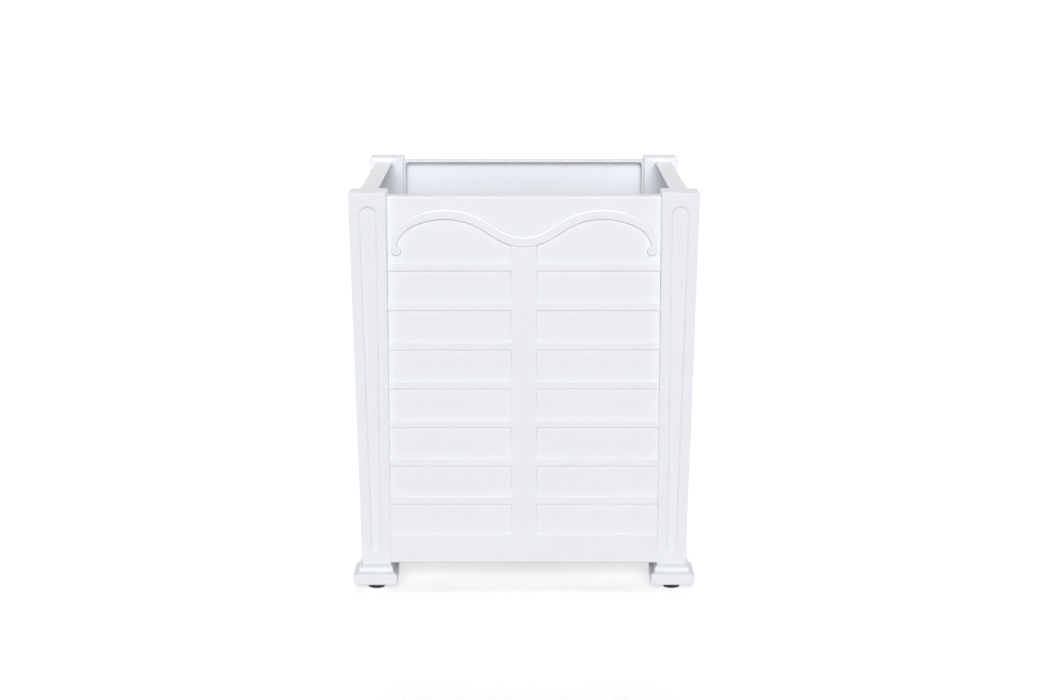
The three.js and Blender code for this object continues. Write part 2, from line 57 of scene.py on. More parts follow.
def extent(node):
    """Lowest and highest corners of a solid in millimetres."""
    return [Vector(round(c / MM, 2) for c in corner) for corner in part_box(node)]


# ------------------------------------------------------------------ sizes in millimetres

POST_LOW, POST_HIGH = extent("post_rear_right")
PANEL_LOW, PANEL_HIGH = extent("panel_front")
PLINTH_LOW, PLINTH_HIGH = extent("plinth_rear_right")
SHELF_LOW, SHELF_HIGH = extent("base_shelf")
PAD_LOW, PAD_HIGH = extent("foot_pad_rear_right")

# posts
POST_TAPER = 14.0
POST_EDGE = 2.5
POST_FOOT_EDGE = 0.6
POST_WALL = 5.0
CAVITY_EDGE = 1.0
FLUTE_INNER_MARGIN = 17.5
FLUTE_OUTER_MARGIN = 17.0
FLUTE_TOP_DROP = 24.0
FLUTE_BOTTOM_RISE = 24.0
FLUTE_DEPTH = 3.0
FLUTE_WALL = 2.5
FLUTE_LIP = 1.1
FLUTE_FLOOR = 1.0
FLUTE_STEPS = 28                 # along each round end
POST_TOP_CORNER = 0.05           # radius of the ring's corners where the eased top edge ends

# plinths
PLINTH_INNER = (11.0, 4.0)       # block and fillet, outside the post's inner face
PLINTH_OUTER = (15.0, 6.0)       # the same on the outer faces
PLINTH_HEIGHTS = (18.0, 23.0, 29.0, 33.5)   # block, lower bevel, fillet, upper bevel
PLINTH_FOOT_EDGE = 1.2
PLINTH_EDGE = 0.8
SPIGOT_HEIGHT = 32.0
SPIGOT_INSET = 5.4
SPIGOT_CORNER = 1.5
INSERT_RECESS = ((12.3, 0.0), (12.3, 2.3), (8.3, 2.3), (8.3, 22.3), (6.0, 22.3))

# panels
PANEL_EDGE = 2.5
PANEL_END_EDGE = 0.25
PANEL_END_GAP = 0.08             # joint between panel and post
RELIEF = 3.0
RELIEF_DRAFT = 3.0
RELIEF_LIP = 0.9
UNDER_DRAFT = 1.8                # the slats' lower edges are steeper
UNDER_LIP = 0.45
RELIEF_FOOT = 0.4
SKIN_DEPTH = 8.0                 # the panel's face to the floor of its tray
FLANGE = 3.5
FLANGE_BACK = 261.0
FLARE = 9.0                      # run of its sweep into the side flanges, more than POCKET_RADIUS
POCKET_RADIUS = 8.0
POCKET_FILLET = 3.0
RIM_EDGE = 0.8
SLATS = 7
SLAT_HEIGHT = 18.5
FIRST_SLAT_DROP = 113.9
RAIL_HEIGHT = 55.8
STILE_HALF = 24.5
HEAD_FOOT_DROP = 101.0
HEAD_FOOT_RUN = 0.3

# scroll moulding, from the panel's middle and top
SCROLL_RISE = 3.0
SCROLL_WALL = 0.35
SCROLL_WALL_RISE = 0.2           # above the panel's face, where the rounded edges start
SCROLL_WALL_SHARE = 0.95         # of the wall's run, reached at the panel's face
SCROLL_EDGE = 4.6                # width of the rounded upper edge
SCROLL_UNDER_EDGE = 1.4          # and of the lower one, above its sloping wall
SCROLL_UNDER_DRAFT = 1.5         # how far that wall slopes in
SCROLL_WIDTH = 21.0
NECK_WIDTH = 12.0
DIP_DROP = 79.4
CREST_DROP = 30.8
CREST_OFFSET = 138.8
NECK_DROP = 84.0
VOLUTE_RADIUS = 9.8
VOLUTE_DROP = 95.6
VOLUTE_END_GAP = 15.2
NECK_SHIFT = 2.5
HOLD_DIP, HOLD_CREST, HOLD_NECK = 0.382, 0.525, 0.543   # reach of the curves' handles
STATION_GAP = 0.012              # least step between places along the scroll
HALVINGS = 40                    # to find a crossing

# levelling feet
STEM_RADIUS = 4.7
STEM_LENGTH = 72.0
STEM_FOOT = 3.3
THREAD_PITCH = 1.5
THREAD_REACH = 42.0              # threaded length above the collar
THREAD_DEPTH = 0.9
THREAD_FLOOR, THREAD_FLANK = 1.3, 3.2   # how wide the groove's floor is, and how steep its flanks
STEM_OVERLAP = 0.3               # of the thread and the collar
STEM_TIP = 1.2                   # chamfer
COLLAR_FLATS = 17.0
COLLAR_LOW, COLLAR_HIGH = 8.3, 13.7
COLLAR_LAND, COLLAR_SLOPE = 0.96, 0.5   # the land's share of the width over flats, and the cone's slope
INSERT_RADIUS, INSERT_LENGTH = 8.0, 22.0
INSERT_FLANGE, INSERT_FLANGE_HEIGHT = 12.0, 2.0
INSERT_BORE = 5.0
INSERT_EDGES = (0.3, 0.3, 0.3, 0.3, 0.5, 0.3)
PAD_SOCKET, PAD_SOCKET_FLOOR = 5.0, 3.0
PAD_SOCKET_EDGES = (0.4, 0.3)
PAD_EDGE = 1.6
PAD_GROOVE, PAD_GROOVE_EDGE = 0.4, 0.15
PAD_GROOVE_LOW, PAD_GROOVE_HIGH = 3.0, 4.6

# screws
SCREW_RADIUS, SCREW_LENGTH = 3.0, 24.0
SCREW_HEAD, SCREW_HEAD_HEIGHT = 6.0, 4.0
SCREW_SOCKET, SCREW_SOCKET_DEPTH = 1.9, 1.8
SCREW_LIP, SCREW_RIM, SCREW_TIP = 0.5, 0.4, 0.3
SCREW_DOME = (4.4, -3.6)         # radius and height of the dome's shoulder
SCREW_EDGES = (1.2, 0.2, 0.1, 0.2, 0.3)
SCREW_SEAT = 0.3                 # from the tray's side to the head's seat

# shelf
SHELF_SIDE_CLEARANCE = 1.0       # to the rounded corners of the trays
SHELF_BOTTOM = 55.3
RIB_HALF = 250.0
RIB_PITCH = 140.0
RIBS = 4
RIB_WIDTH = 4.0
RIB_OVERLAP = 0.4                # of the ribs and the sheet
RIB_EDGE = 0.6
SHELF_EDGE = 0.8
DRAIN_RADIUS = 11.0

# levels and planes that follow from these
FACE = -PANEL_LOW.y - SCROLL_RISE
FIELD = FACE - RELIEF
POCKET_FLOOR = FACE - SKIN_DEPTH
SIDE_BACK = -PANEL_HIGH.y
PANEL_TOP, PANEL_BOTTOM = PANEL_HIGH.z, PANEL_LOW.z
PANEL_HALF = POST_LOW.x - PANEL_END_GAP
POCKET_TOP, POCKET_BOTTOM = PANEL_TOP - FLANGE, PANEL_BOTTOM + FLANGE
POCKET_HALF = PANEL_HALF - FLANGE
RAIL_TOP = PANEL_BOTTOM + RAIL_HEIGHT
FIRST_SLAT = PANEL_TOP - FIRST_SLAT_DROP
SLAT_PITCH = (FIRST_SLAT - RAIL_TOP) / SLATS
FACE_HALF = PANEL_HALF - PANEL_END_EDGE
VOLUTE = Vector((PANEL_HALF - VOLUTE_END_GAP, PANEL_TOP - VOLUTE_DROP))
NECK = VOLUTE.x + NECK_SHIFT
FOOT = (PLINTH_LOW.x + PLINTH_HIGH.x) / 2
SHELF_HALF = POCKET_HALF - POCKET_RADIUS - SHELF_SIDE_CLEARANCE


# ------------------------------------------------------------------ gathering faces

class Shell:
    """Faces gathered from points in millimetres, with equal points shared.

    A flat face keeps its own normal up to its edges, and the eased edges beside it blend into it.
    """

    def __init__(self):
        self.points, self.shared, self.faces, self.flats = [], {}, [], []

    def vertex(self, point):
        key = tuple(round(c / MM + TIE_SHIFT) for c in point)
        if key not in self.shared:
            self.shared[key] = len(self.points)
            self.points.append(Vector(point))
        return self.shared[key]

    def part(self):
        """Starts another closed part, which shares no points with those before it."""
        self.shared = {}

    def face(self, corners, flat=False):
        around = list(dict.fromkeys(self.vertex(p) for p in corners))
        if len(around) > 2:
            self.faces.append(around)
            self.flats.append(flat)

    def strip(self, one, other, closed=False, flat=False):
        """Quads between two rows that hold the same number of points."""
        for i in range(len(one) - (0 if closed else 1)):
            j = (i + 1) % len(one)
            self.face((one[i], one[j], other[j], other[i]), flat)

    def skin(self, rows, closed=False, flat=False):
        for one, other in zip(rows, rows[1:]):
            self.strip(one, other, closed, flat)

    def cap(self, outline, *holes, flat=True):
        """Triangles that fill a plane outline round its holes."""
        loops = []
        for loop in (outline, *holes):
            ids = [self.vertex(p) for p in loop]
            loops.append([v for i, v in enumerate(ids) if v != ids[i - 1]])
        normal = Vector()
        ring = [self.points[v] for v in loops[0]]
        for a, b in zip(ring, ring[1:] + ring[:1]):
            normal += a.cross(b)
        away = max(range(3), key=lambda axis: abs(normal[axis]))
        across, along = [axis for axis in range(3) if axis != away]
        ids = [v for loop in loops for v in loop]
        flat_points = [Vector((self.points[v][across], self.points[v][along])) for v in ids]
        edges, start = [], 0
        for loop in loops:
            edges += [(start + i, start + (i + 1) % len(loop)) for i in range(len(loop))]
            start += len(loop)
        made, _, triangles, origin, _, _ = delaunay_2d_cdt(flat_points, edges, [], 0, 1e-5)
        for triangle in triangles:
            middle = sum((made[v] for v in triangle), Vector((0, 0))) / 3
            crossings = 0
            for a, b in edges:
                p, q = flat_points[a], flat_points[b]
                if (p.y > middle.y) != (q.y > middle.y):
                    crossings += middle.x < p.x + (middle.y - p.y) / (q.y - p.y) * (q.x - p.x)
            if crossings % 2:
                self.face([self.points[ids[origin[v][0]]] for v in triangle], flat)

    def mesh(self, name, blend=50):
        """Closed mesh in metres whose faces look outwards. Normals blend up to that many degrees."""
        mesh = bpy.data.meshes.new(name)
        mesh.from_pydata([p * MM for p in self.points], [], self.faces)
        work = bmesh.new()
        work.from_mesh(mesh)
        bmesh.ops.recalc_face_normals(work, faces=work.faces)
        work.to_mesh(mesh)
        work.free()
        near = cos(radians(blend))
        around = [[] for _ in mesh.vertices]
        for face in mesh.polygons:
            for v in face.vertices:
                around[v].append(face)
        normals = []
        for face in mesh.polygons:
            for v in face.vertices:
                level, soft = [], Vector()
                for other in around[v]:
                    if other.normal.dot(face.normal) > near:
                        if self.flats[other.index]:
                            level.append(other.normal)
                        else:
                            soft += other.normal * other.area
                if self.flats[face.index]:
                    normals.append(face.normal.copy())
                elif level:
                    normals.append(max(level, key=face.normal.dot).copy())
                else:
                    normals.append(soft.normalized())
        mesh.shade_smooth()
        mesh.normals_split_custom_set(normals)
        return mesh


def eased(path, reach, steps=4):
    """The path with each inner corner replaced by a curve that starts and ends `reach` from it."""
    reaches = reach if isinstance(reach, (list, tuple)) else [reach] * (len(path) - 2)
    path = [Vector(p) for p in path]
    smooth = [path[0]]
    for before, corner, after, near in zip(path, path[1:], path[2:], reaches):
        if near == 0:
            smooth.append(corner)
            continue
        start = corner + (before - corner).normalized() * near
        end = corner + (after - corner).normalized() * near
        for i in range(steps + 1):
            t = i / steps
            smooth.append(start * (1 - t) ** 2 + corner * 2 * t * (1 - t) + end * t * t)
    return smooth + [path[-1]]


def quarter(steps):
    """Angles from 0 to a right angle."""
    return [pi / 2 * i / steps for i in range(steps + 1)]


def rounded_ring(low, high, radius, z, steps=6):
    """Level square from (low, low) to (high, high), or a rectangle where these are pairs."""
    (x0, y0), (x1, y1) = [(v, v) if isinstance(v, float) else v for v in (low, high)]
    corners = ((x1 - radius, y1 - radius), (x0 + radius, y1 - radius),
               (x0 + radius, y0 + radius), (x1 - radius, y0 + radius))
    return [(x + radius * cos(turn * pi / 2 + a), y + radius * sin(turn * pi / 2 + a), z)
            for turn, (x, y) in enumerate(corners) for a in quarter(steps)]


def circle(radius, z, sides, centre=(0, 0)):
    return [(centre[0] + radius * cos(2 * pi * i / sides), centre[1] + radius * sin(2 * pi * i / sides), z)
            for i in range(sides)]


def turn_profile(shell, profile, sides):
    """Turns a path of (radius, height) about the Z axis. Level stretches are flat."""
    for (r0, z0), (r1, z1) in zip(profile, profile[1:]):
        level = abs(z1 - z0) < 1e-6
        if min(r0, r1) < 1e-6:
            shell.cap(circle(max(r0, r1), z0 if r0 > r1 else z1, sides))
        else:
            shell.strip(circle(r0, z0, sides), circle(r1, z1, sides), closed=True, flat=level)


# ------------------------------------------------------------------ finishes

def node(tree, kind, inputs=(), **settings):
    made = tree.nodes.new(kind)
    for key, value in settings.items():
        setattr(made, key, value)
    for key, value in dict(inputs).items():
        if isinstance(value, bpy.types.NodeSocket):
            tree.links.new(value, made.inputs[key])
        else:
            made.inputs[key].default_value = value
    return made


def ramp(tree, driver, low, high):
    """Grey or coloured blend from low to high as the driver goes from 0 to 1."""
    mix = node(tree, "ShaderNodeMix", {0: driver}, data_type="RGBA")
    mix.inputs[6].default_value = (*low, 1)
    mix.inputs[7].default_value = (*high, 1)
    return mix.outputs[2]


def finish(name, colour, shade, roughness, spread, grain, grain_height, cloud=9, metallic=0.0, ior=1.5):
    """Moulded or turned surface. Its colour drifts to `shade`, its roughness by `spread`, and a fine
    grain, `grain` millimetres across, lifts it by `grain_height` millimetres."""
    material = bpy.data.materials.new(name)
    material.use_nodes = True
    tree = material.node_tree
    tree.nodes.clear()
    place = node(tree, "ShaderNodeTexCoord").outputs["Object"]
    drift = node(tree, "ShaderNodeTexNoise", {"Vector": place, "Scale": cloud, "Detail": 3})
    fine = node(tree, "ShaderNodeTexNoise", {"Vector": place, "Scale": 1 / (grain * MM), "Detail": 2})
    gloss = node(tree, "ShaderNodeMapRange", {
        "Value": fine.outputs[0], "From Min": 0.3, "From Max": 0.7,
        "To Min": roughness - spread, "To Max": roughness + spread})
    bump = node(tree, "ShaderNodeBump", {
        "Height": fine.outputs[0], "Strength": 1.0, "Distance": grain_height * MM})
    shader = node(tree, "ShaderNodeBsdfPrincipled", {
        "Base Color": ramp(tree, drift.outputs[0], colour, shade),
        "Roughness": gloss.outputs[0], "Normal": bump.outputs[0],
        "Metallic": metallic, "IOR": ior})
    out = node(tree, "ShaderNodeOutputMaterial")
    tree.links.new(shader.outputs[0], out.inputs["Surface"])
    return material


WHITE = finish("white_moulding", (0.862, 0.868, 0.905), (0.842, 0.850, 0.890),
               roughness=0.27, spread=0.03, grain=1.2, grain_height=0.0012)
SHELF = finish("shelf_moulding", (0.78, 0.785, 0.80), (0.74, 0.745, 0.76),
               roughness=0.55, spread=0.08, grain=0.9, grain_height=0.03)
RUBBER = finish("pad_black", (0.010, 0.010, 0.011), (0.020, 0.020, 0.021),
                roughness=0.55, spread=0.10, grain=0.7, grain_height=0.03)
STEEL = finish("stem_steel", (0.60, 0.61, 0.63), (0.50, 0.51, 0.53),
               roughness=0.32, spread=0.08, grain=0.5, grain_height=0.01, cloud=60, metallic=1.0)
BRASS = finish("insert_brass", (0.62, 0.42, 0.15), (0.52, 0.34, 0.11),
               roughness=0.35, spread=0.08, grain=0.5, grain_height=0.01, cloud=60, metallic=1.0)
SCREW = finish("screw_steel", (0.56, 0.57, 0.58), (0.46, 0.47, 0.49),
               roughness=0.34, spread=0.08, grain=0.4, grain_height=0.01, cloud=80, metallic=1.0)


# ------------------------------------------------------------------ posts, in the rear right corner

def post_outside(z):
    return POST_HIGH.x - POST_TAPER * (POST_HIGH.z - z) / (POST_HIGH.z - POST_LOW.z)


def post_ring(z, inset, radius):
    return rounded_ring(POST_LOW.x + inset, post_outside(z) - inset, radius, z)


def flute_ring(inset, depth):
    """Outline of the sunk flute on the +X face, shrunk by inset, that far below the tapered face."""
    ends = ((POST_HIGH.z - FLUTE_TOP_DROP, 1), (POST_LOW.z + FLUTE_BOTTOM_RISE, -1))
    ring = []
    for tip, side in ends:
        low_edge = POST_LOW.y + FLUTE_INNER_MARGIN
        radius = (post_outside(tip) - FLUTE_OUTER_MARGIN - low_edge) / 2
        level = tip - side * radius
        middle = (low_edge + post_outside(level) - FLUTE_OUTER_MARGIN) / 2
        for i in range(FLUTE_STEPS + 1):
            angle = pi * i / FLUTE_STEPS + (0 if side > 0 else pi)
            z = level + (radius - inset) * sin(angle)
            ring.append(Vector((post_outside(z) - depth, middle + (radius - inset) * cos(angle), z)))
    return ring


def post_shell():
    shell = Shell()
    foot, top = POST_LOW.z, POST_HIGH.z
    low = [post_ring(foot + POST_FOOT_EDGE * (1 - cos(a)), POST_FOOT_EDGE * (1 - sin(a)), POST_EDGE)
           for a in quarter(3)]
    high = [post_ring(top - POST_EDGE * (1 - sin(a)), POST_EDGE * (1 - cos(a)),
                      max(POST_EDGE * cos(a), POST_TOP_CORNER)) for a in quarter(6)]
    shell.skin(low, closed=True)
    shell.skin(high, closed=True)
    shell.cap(high[-1])

    lower, upper = low[-1], high[0]
    count = len(lower) // 4
    path = [(-LEAD, 0), (0, 0), (FLUTE_WALL, FLUTE_DEPTH), (FLUTE_WALL + LEAD, FLUTE_DEPTH)]
    profile = eased(path, [FLUTE_LIP, FLUTE_FLOOR], 5)[1:-1]
    flute = [flute_ring(inset, depth) for inset, depth in profile]
    for side in range(4):
        corner = slice(side * count, (side + 1) * count)
        shell.strip(lower[corner], upper[corner])
        end, start = (side + 1) * count - 1, (side + 1) * count % len(lower)
        face = (lower[end], lower[start], upper[start], upper[end])
        if side in (1, 2):
            shell.face(face, flat=True)
            continue
        rings = flute if side == 3 else [[Vector((p.y, p.x, p.z)) for p in ring] for ring in flute]
        shell.cap(face, rings[0])
        shell.skin(rings, closed=True)
        shell.cap(rings[-1])

    mouth = post_ring(foot, POST_WALL, CAVITY_EDGE)
    ceiling = post_ring(top - POST_WALL, POST_WALL, CAVITY_EDGE)
    shell.strip(low[0], mouth, closed=True, flat=True)
    shell.strip(mouth, ceiling, closed=True)
    shell.cap(ceiling)
    return shell


# ------------------------------------------------------------------ plinths, in the same corner

def plinth_ring(inner, outer, z, radius=POST_EDGE):
    foot_outside = POST_HIGH.x - POST_TAPER
    return rounded_ring(POST_LOW.x - inner, foot_outside + outer, radius, z)


def plinth_shell():
    shell = Shell()
    foot = PLINTH_LOW.z
    block, bevel, fillet, top = [foot + height for height in PLINTH_HEIGHTS]
    (block_in, fillet_in), (block_out, fillet_out) = PLINTH_INNER, PLINTH_OUTER
    path = [
        (block_in - LEAD, block_out - LEAD, foot), (block_in, block_out, foot),
        (block_in, block_out, block), (fillet_in, fillet_out, bevel),
        (fillet_in, fillet_out, fillet), (0, 0, top), (-LEAD, -LEAD, top),
    ]
    edges = [PLINTH_FOOT_EDGE, PLINTH_EDGE, PLINTH_EDGE, PLINTH_EDGE, PLINTH_EDGE]
    rings = [plinth_ring(*p) for p in eased(path, edges)[1:-1]]
    shell.skin(rings, closed=True)

    spigot_low = plinth_ring(-SPIGOT_INSET, -SPIGOT_INSET, top, SPIGOT_CORNER)
    spigot_high = plinth_ring(-SPIGOT_INSET, -SPIGOT_INSET, top + SPIGOT_HEIGHT, SPIGOT_CORNER)
    shell.strip(rings[-1], spigot_low, closed=True, flat=True)
    shell.strip(spigot_low, spigot_high, closed=True)

    centre = (FOOT, FOOT)
    bore = [circle(r, foot + rise, 48, centre) for r, rise in INSERT_RECESS]
    bore.append(circle(INSERT_RECESS[-1][0], top + SPIGOT_HEIGHT, 48, centre))
    shell.cap(rings[0], bore[0])
    for i, (one, other) in enumerate(zip(bore, bore[1:])):
        shell.strip(one, other, closed=True, flat=i in (1, 3))
    shell.cap(spigot_high, bore[-1])
    return shell


# ------------------------------------------------------------------ relief panel, facing -Y

def relief_profile(draft, lip):
    """Across the edge of a slat, the stile or the rail, as (inset from its foot, level)."""
    path = [(-LEAD, 0), (0, 0), (draft, RELIEF), (draft + LEAD, RELIEF)]
    return eased(path, [RELIEF_FOOT, lip])[1:-1]


RELIEF_STEPS = relief_profile(RELIEF_DRAFT, RELIEF_LIP)
UNDER_STEPS = relief_profile(UNDER_DRAFT, UNDER_LIP)
CREST_RUN, UNDER_RUN = RELIEF_STEPS[-1].x, UNDER_STEPS[-1].x   # from the foot line to the flat top


def scroll_edge(t, way, inset):
    """Point on the scroll's upper (way 1) or lower (-1) edge. t is 0 at the dip, 1 at the crest and 2
    at the neck."""
    def at(x, drop):
        return Vector((x, PANEL_TOP - drop))
    if t <= 1:
        s, half = t, SCROLL_WIDTH / 2
        hold = (at(0, DIP_DROP), at(HOLD_DIP * CREST_OFFSET, DIP_DROP),
                at((1 - HOLD_CREST) * CREST_OFFSET, CREST_DROP), at(CREST_OFFSET, CREST_DROP))
    else:
        s = t - 1
        half = (SCROLL_WIDTH + (NECK_WIDTH - SCROLL_WIDTH) * s * s) / 2
        fall = NECK_DROP - CREST_DROP
        hold = (at(CREST_OFFSET, CREST_DROP),
                at(CREST_OFFSET + HOLD_CREST * (NECK - CREST_OFFSET), CREST_DROP),
                at(NECK, NECK_DROP - HOLD_NECK * fall), at(NECK, NECK_DROP))
    a, b, c, d = hold
    point = a * (1 - s) ** 3 + b * 3 * s * (1 - s) ** 2 + c * 3 * s * s * (1 - s) + d * s ** 3
    run = (b - a) * (1 - s) ** 2 + (c - b) * 2 * s * (1 - s) + (d - c) * s * s
    up = Vector((-run.y, run.x)).normalized()
    return point + up * way * (half - inset)


def scroll_stations():
    """Places along the scroll, with one wherever its lower edge crosses a line of the stile's edge."""
    crossings = []
    for inset, _ in RELIEF_STEPS:
        low, high = 0.0, 1.0
        for _ in range(HALVINGS):
            t = (low + high) / 2
            low, high = (t, high) if scroll_edge(t, -1, 0).x < STILE_HALF - inset else (low, t)
        crossings.append(low)
    even = [i / 36 for i in range(37)] + [1 + i / 30 for i in range(1, 31)]
    return sorted(crossings + [t for t in even if all(abs(t - c) > STATION_GAP for c in crossings)])


STATIONS = scroll_stations()
HEAD_FOOT = [-asin((drop - VOLUTE_DROP) / VOLUTE_RADIUS)
             for drop in (HEAD_FOOT_DROP, HEAD_FOOT_DROP + HEAD_FOOT_RUN)]
ARC_STEPS = (5, 26)
VOLUTE_BLEND = 1.2               # radians over which the upper edge turns into the volute's


def scroll_path(inset, under):
    """Right half of the scroll's outline, from the dip's upper edge round the volute to its lower. It
    shrinks by `inset` along the upper edge, and by `under` along the lower edge and round the volute."""
    start, end = [acos((NECK_SHIFT + way * (NECK_WIDTH / 2 - shrunk)) / (VOLUTE_RADIUS - shrunk))
                  for way, shrunk in ((1, inset), (-1, under))]
    stops = (start, *HEAD_FOOT, end - 2 * pi)
    angles = [stops[0] + (stops[1] - stops[0]) * i / ARC_STEPS[0] for i in range(ARC_STEPS[0])]
    angles += [stops[1]]
    angles += [stops[2] + (stops[3] - stops[2]) * i / ARC_STEPS[1] for i in range(ARC_STEPS[1] + 1)]
    arc = []
    for a in angles:
        share = min((start - a) / VOLUTE_BLEND, 1)
        arc.append(VOLUTE + Vector((cos(a), sin(a))) * (VOLUTE_RADIUS - inset + (inset - under) * share))
    return ([scroll_edge(t, 1, inset) for t in STATIONS] + arc
            + [scroll_edge(t, -1, under) for t in reversed(STATIONS)])


HEAD_FOOT_PLACE = len(STATIONS) + ARC_STEPS[0]   # in that path, the last point beside the head


def stile_level(x):
    """Level of the stile's edge where the scroll's lower edge passes over it."""
    inset = STILE_HALF - x
    if inset >= CREST_RUN:
        return RELIEF
    for (a0, l0), (a1, l1) in zip(RELIEF_STEPS, RELIEF_STEPS[1:]):
        if a0 - 1e-6 <= inset <= a1:
            return l0 + (l1 - l0) * max(inset - a0, 0) / (a1 - a0)
    return 0.0


def front(x, z, level=RELIEF):
    return Vector((x, -(FIELD + level), z))


def flip(points):
    """The same points on the other side of the panel's middle."""
    return [Vector((-p.x, *p[1:])) for p in points]


def both(shell, build):
    """Builds on the right, and again on the left."""
    build(lambda points: points)
    build(flip)


def flange_back(x):
    """How far back the flange's edge is at x. It sweeps out to the deeper side flanges."""
    run = min(max((POCKET_HALF - abs(x)) / FLARE, 0), 1)
    return SIDE_BACK + (FLANGE_BACK - SIDE_BACK) * (1 - (1 - sqrt(run)) ** 2)


def pocket_ring():
    """Right-hand points of the tray's mouth from the top to the bottom, as (centre, outward)."""
    centre = POCKET_HALF - POCKET_RADIUS
    flare_start = POCKET_HALF - FLARE
    straight = [flare_start + (centre - flare_start) * i / 4 for i in range(4)]
    top, bottom = POCKET_TOP - POCKET_RADIUS, POCKET_BOTTOM + POCKET_RADIUS
    upper = [(Vector((x, top)), Vector((0, 1))) for x in straight]
    upper += [(Vector((centre, top)), Vector((sin(a), cos(a)))) for a in quarter(9)]
    lower = [(Vector((c.x, bottom)), Vector((n.x, -n.y))) for c, n in reversed(upper)]
    return upper, lower


def panel_front_faces(shell, columns):
    """Field, slats, stile, rail, head and scroll, up to the lines where the outer edges start."""
    top, bottom = PANEL_TOP - PANEL_EDGE, PANEL_BOTTOM + PANEL_EDGE
    half = STILE_HALF - CREST_RUN

    wall_top = RELIEF + SCROLL_WALL_RISE
    levels = [(SCROLL_WALL * SCROLL_WALL_SHARE, SCROLL_UNDER_DRAFT * RELIEF / wall_top, RELIEF)]
    for a in quarter(7):
        levels.append((SCROLL_WALL + SCROLL_EDGE * (1 - cos(a)),
                       SCROLL_UNDER_DRAFT + SCROLL_UNDER_EDGE * (1 - cos(a)),
                       wall_top + (SCROLL_RISE - SCROLL_WALL_RISE) * sin(a)))
    foot = []
    for i, p in enumerate(scroll_path(0, 0)):
        beside_head = i <= HEAD_FOOT_PLACE
        foot.append(front(p.x, p.y, RELIEF if beside_head else stile_level(p.x)))
    paths = [foot] + [[front(p.x, p.y, level) for p in scroll_path(inset, under)]
                      for inset, under, level in levels]
    both(shell, lambda side: shell.skin([side(path) for path in paths]))
    shell.cap(paths[-1] + flip(paths[-1])[::-1])

    foot_z = [PANEL_TOP - HEAD_FOOT_DROP, PANEL_TOP - HEAD_FOOT_DROP - HEAD_FOOT_RUN]
    head_edge = foot[:HEAD_FOOT_PLACE + 1]
    corner = front(FACE_HALF, foot_z[0])
    head = [front(x, top) for x in columns]
    shell.cap(head + [corner] + head_edge[::-1] + flip(head_edge) + flip([corner]))

    low_edge = foot[HEAD_FOOT_PLACE + 1:]
    stile_edge = [p for p in low_edge if p.x <= half + CLOSE]
    crossings = {k: min(low_edge, key=lambda p: abs(p.x - (STILE_HALF - inset)))
                 for k, (inset, _) in enumerate(RELIEF_STEPS)}
    upper_edge = [p for p in low_edge if p.x >= crossings[0].x - CLOSE]

    def top_cell(side):
        rows = []
        for k, (inset, level) in enumerate(RELIEF_STEPS):
            z, x = FIRST_SLAT - inset, STILE_HALF - inset
            rows.append(side([front(FACE_HALF, z, level), front(x, z, level), crossings[k]]))
        shell.skin(rows)
        under = front(FACE_HALF, foot_z[1], 0)
        shell.face(side([head_edge[-1], corner, under, low_edge[0]]))
        shell.cap(rows[0] + side(upper_edge[::-1]) + side([under]))

    def cell(side, low, high):
        rows = []
        for (inset, level), (under, under_level) in zip(RELIEF_STEPS, UNDER_STEPS):
            x = STILE_HALF - inset
            rows.append(side([front(FACE_HALF, low - inset, level),
                              front(x, low - inset, level),
                              front(x, high + under, under_level),
                              front(FACE_HALF, high + under, under_level)]))
        shell.skin(rows)
        shell.face(rows[0], flat=True)

    tops = [FIRST_SLAT - i * SLAT_PITCH for i in range(SLATS)]
    sides_of_stile = []
    for i, slat_top in enumerate(tops):
        slat_foot = slat_top - SLAT_HEIGHT
        below = tops[i + 1] if i + 1 < SLATS else RAIL_TOP
        both(shell, lambda side: cell(side, below, slat_foot))
        high, low = slat_top - CREST_RUN, slat_foot + UNDER_RUN
        slat = [front(half, low), front(FACE_HALF, low), front(FACE_HALF, high), front(half, high)]
        both(shell, lambda side: shell.face(side(slat), flat=True))
        sides_of_stile += [high, low]
    both(shell, top_cell)
    rail = RAIL_TOP - CREST_RUN
    side_points = [front(half, z) for z in sides_of_stile + [rail]]
    shell.cap(stile_edge[::-1] + side_points + flip(side_points)[::-1] + flip(stile_edge))
    floor = [front(x, bottom) for x in columns]
    rail_top = [front(half, rail), front(FACE_HALF, rail)]
    shell.cap(floor + rail_top[::-1] + flip(rail_top))


